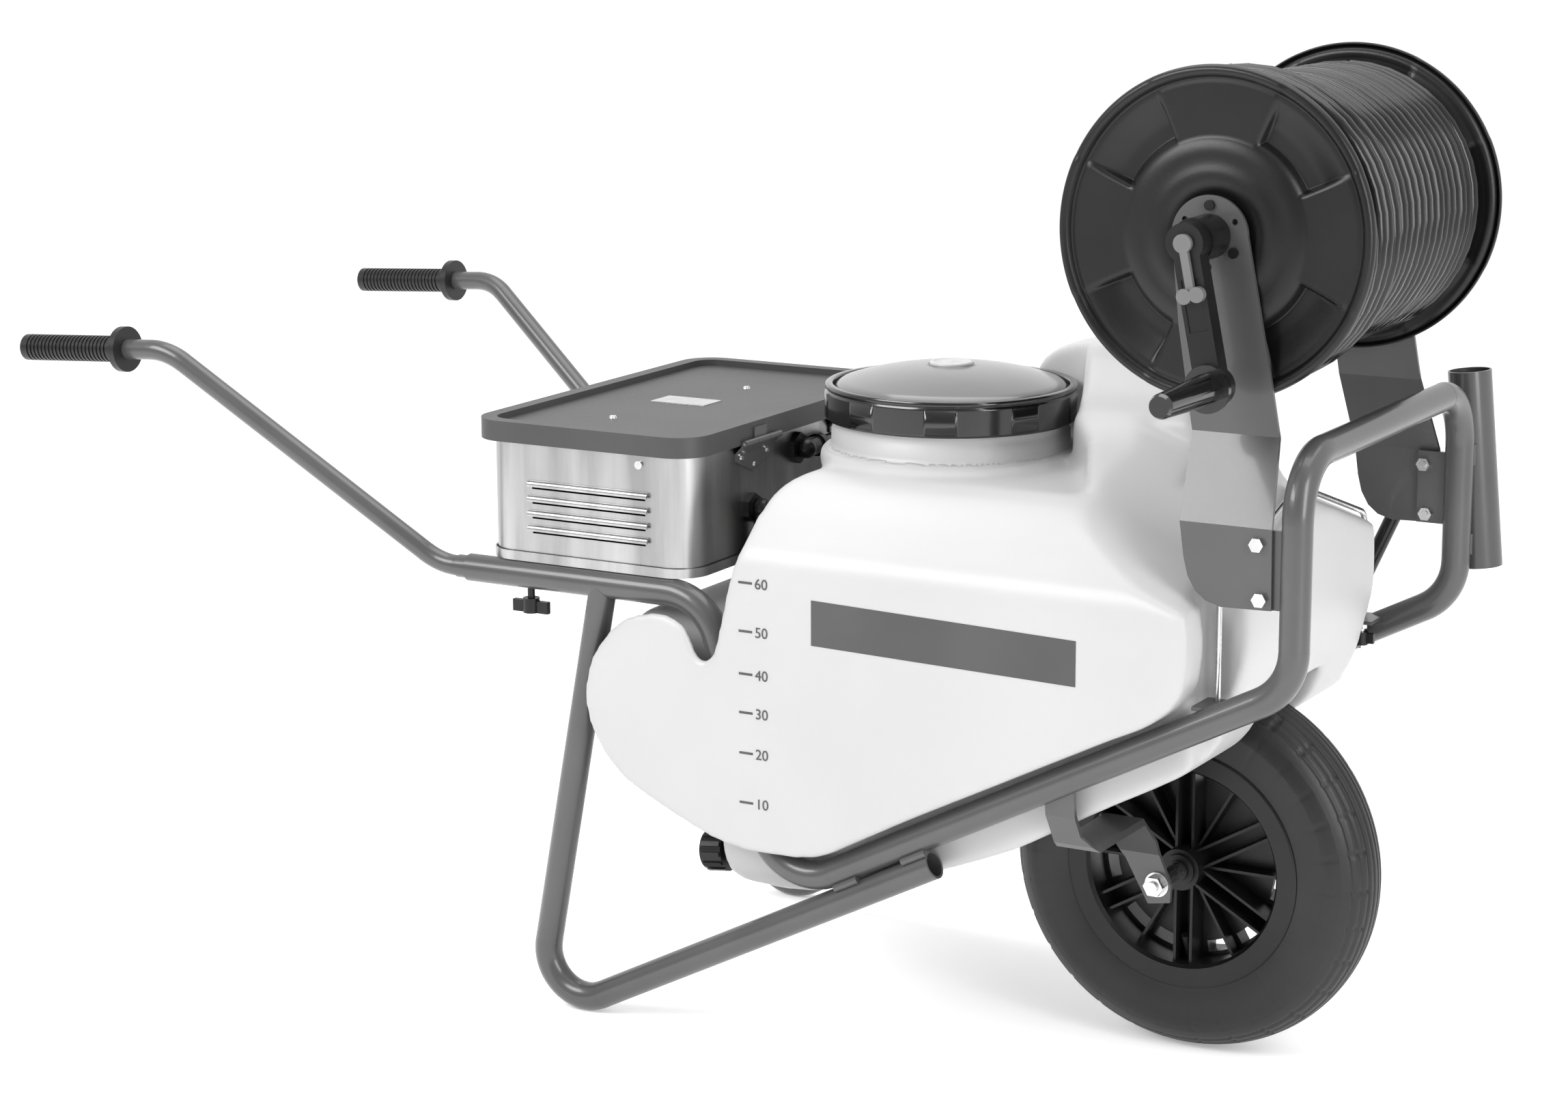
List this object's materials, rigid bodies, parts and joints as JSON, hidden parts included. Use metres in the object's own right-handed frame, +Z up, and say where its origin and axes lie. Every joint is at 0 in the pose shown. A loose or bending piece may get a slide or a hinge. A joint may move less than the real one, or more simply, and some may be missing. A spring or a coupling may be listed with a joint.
{
  "type": "wheeled sprayer cart",
  "caption": "Single-wheeled sprayer cart with a moulded liquid tank on a bent tube frame, a pump box behind it and a cranked hose reel above the front hoop",
  "frame": {"origin": "middle of the footprint, on the ground", "axes": "+X forward, away from the handles; +Y to the left hand of someone pushing; +Z up"},
  "size_m": [1.5303, 0.7123, 1.0386],
  "materials": {
    "frame_paint": "semi-gloss powder coat",
    "lid_paint": "satin powder coat",
    "box_steel": "brushed sheet with a clear coat",
    "tank_plastic": "satin natural polyethylene",
    "black_plastic": "satin moulded plastic",
    "gloss_black": "glossy moulded plastic",
    "zinc": "zinc plated",
    "grey_plastic": "satin moulded plastic",
    "tyre_rubber": "matt rubber",
    "grip_rubber": "matt rubber",
    "hose_rubber": "smooth glossy hose cover",
    "motor_metal": "die cast",
    "brass": "machined",
    "print_grey": "printed"
  },
  "bodies": {
    "chassis": {"frame_rail_right": "frame_paint", "frame_rail_left": "frame_paint", "front_hoop": "frame_paint", "leg_right": "frame_paint", "leg_left": "frame_paint", "handle_right": "frame_paint", "handle_left": "frame_paint", "grip_right": "grip_rubber", "grip_left": "grip_rubber", "lance_holder": "frame_paint", "frame_lugs": "frame_paint", "weld_beads": "frame_paint", "wheel_bracket_right": "frame_paint", "wheel_bracket_left": "frame_paint", "axle_bolt": "zinc", "axle_nuts": "zinc", "tank": "tank_plastic", "tank_scale": "print_grey", "tank_panel": "print_grey", "tie_rod": "zinc", "tie_rod_nuts": "zinc", "box_pan": "box_steel", "box_body": "box_steel", "box_hinges": "frame_paint", "hinge_pins": "zinc", "box_rivets": "zinc", "pump_motor": "motor_metal", "pump_head": "black_plastic", "battery": "black_plastic", "hose_fittings": "black_plastic", "suction_hose": "hose_rubber", "reel_feed_hose": "hose_rubber", "swivel_elbow": "brass", "reel_arm_right": "frame_paint", "reel_arm_left": "frame_paint", "arm_bolts": "zinc", "bearing_flanges": "black_plastic"},
    "wheel": {"tyre": "tyre_rubber", "wheel_rim": "black_plastic", "wheel_bushes": "black_plastic", "tyre_valve": "tyre_rubber"},
    "cap": {"cap_lid": "grey_plastic", "cap_vent": "black_plastic", "cap_gasket": "grip_rubber"},
    "screw_ring": {"cap_ring": "gloss_black"},
    "drain": {"drain_cap": "black_plastic"},
    "rod_wing_nut": {"tie_rod_wing_nut": "black_plastic"},
    "box_screw_right": {"wing_screw_right": "black_plastic"},
    "box_screw_left": {"wing_screw_left": "black_plastic"},
    "lid": {"box_lid": "lid_paint", "lid_hinge_leaves": "frame_paint", "lid_screws": "zinc", "lid_plate": "zinc"},
    "reel": {"reel_drum": "black_plastic", "reel_flange_right": "black_plastic", "reel_flange_left": "black_plastic", "hose_winding": "hose_rubber", "crank_arm": "black_plastic"},
    "grip_knob": {"crank_grip": "gloss_black"},
    "latch": {"crank_latch": "grey_plastic"}
  },
  "joints": [
    {"name": "wheel_spin", "type": "hinge", "parent": "chassis", "child": "wheel", "pos_m": [0.5245, 0.017, 0.2], "axis": [0, 1, 0], "continuous": true},
    {"name": "cap_lift", "type": "slide", "parent": "chassis", "child": "cap", "axis": [0, 0, 1], "range_m": [0, 0.12]},
    {"name": "ring_turn", "type": "hinge", "parent": "cap", "child": "screw_ring", "pos_m": [0.2335, 0.017, 0.664], "axis": [0, 0, 1], "continuous": true},
    {"name": "drain_turn", "type": "hinge", "parent": "chassis", "child": "drain", "pos_m": [0.0675, -0.163, 0.19], "axis": [-0.9925, 0, -0.1219], "continuous": true},
    {"name": "rod_nut_turn", "type": "hinge", "parent": "chassis", "child": "rod_wing_nut", "pos_m": [0.6255, 0.215, 0.405], "axis": [0, 0, 1], "continuous": true},
    {"name": "box_screw_right_turn", "type": "hinge", "parent": "chassis", "child": "box_screw_right", "pos_m": [-0.1505, -0.213, 0.445], "axis": [0, 0, 1], "continuous": true},
    {"name": "box_screw_left_turn", "type": "hinge", "parent": "chassis", "child": "box_screw_left", "pos_m": [-0.1505, 0.247, 0.445], "axis": [0, 0, 1], "continuous": true},
    {"name": "lid_hinge", "type": "hinge", "parent": "chassis", "child": "lid", "pos_m": [0.0615, 0.017, 0.6222], "axis": [0, 1, 0], "range_deg": [0, 75]},
    {"name": "reel_spin", "type": "hinge", "parent": "chassis", "child": "reel", "pos_m": [0.6063, 0.017, 0.8798], "axis": [0, 1, 0], "continuous": true},
    {"name": "crank_grip_spin", "type": "hinge", "parent": "reel", "child": "grip_knob", "pos_m": [0.63405, -0.283, 0.74462], "axis": [0, 1, 0], "continuous": true},
    {"name": "latch_turn", "type": "hinge", "parent": "reel", "child": "latch", "pos_m": [0.6063, -0.245, 0.8798], "axis": [0, 1, 0], "range_deg": [0, 90]}
  ]
}
